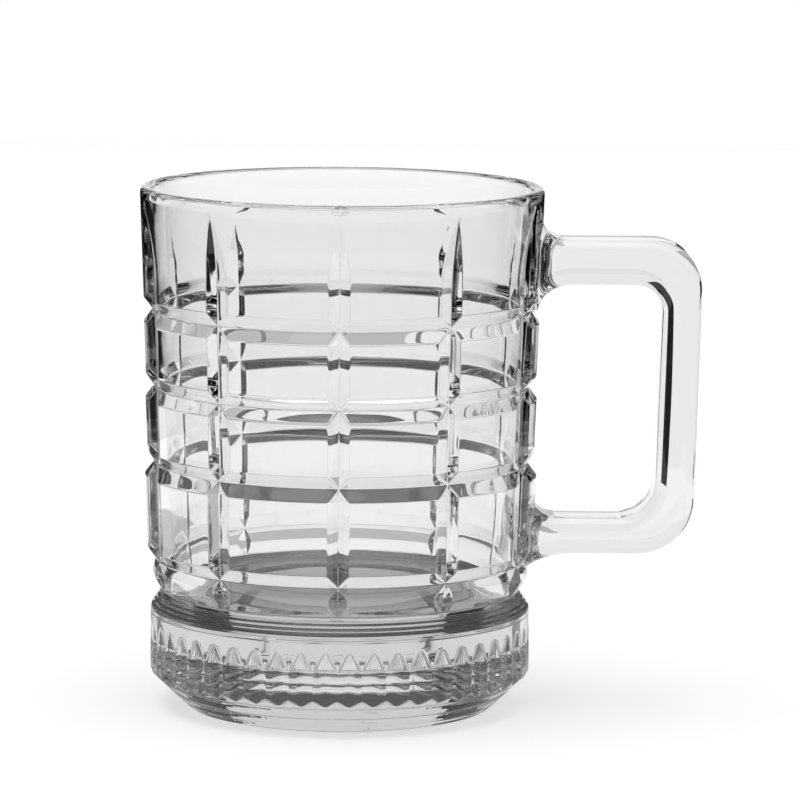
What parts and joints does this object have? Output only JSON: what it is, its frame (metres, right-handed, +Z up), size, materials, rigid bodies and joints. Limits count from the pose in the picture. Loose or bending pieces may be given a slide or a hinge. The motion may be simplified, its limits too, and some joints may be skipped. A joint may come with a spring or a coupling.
{
  "type": "glass mug",
  "caption": "Clear pressed-glass coffee mug with a heavy fluted foot, a mitred windowpane pattern around the bowl and a square-cornered side handle.",
  "frame": {"origin": "centre of the flat base, on the bowl's axis, in the plane the mug stands on", "axes": "+Z up along the bowl's axis, +X towards the handle, +Y away from the viewer of the picture"},
  "size_m": [0.1179, 0.085, 0.11],
  "materials": {
    "clear_glass": "fire-polished pressed soda-lime glass, clear with a faint grey cast"
  },
  "bodies": {
    "root": {"mug_body": "clear_glass", "handle": "clear_glass"}
  },
  "joints": []
}
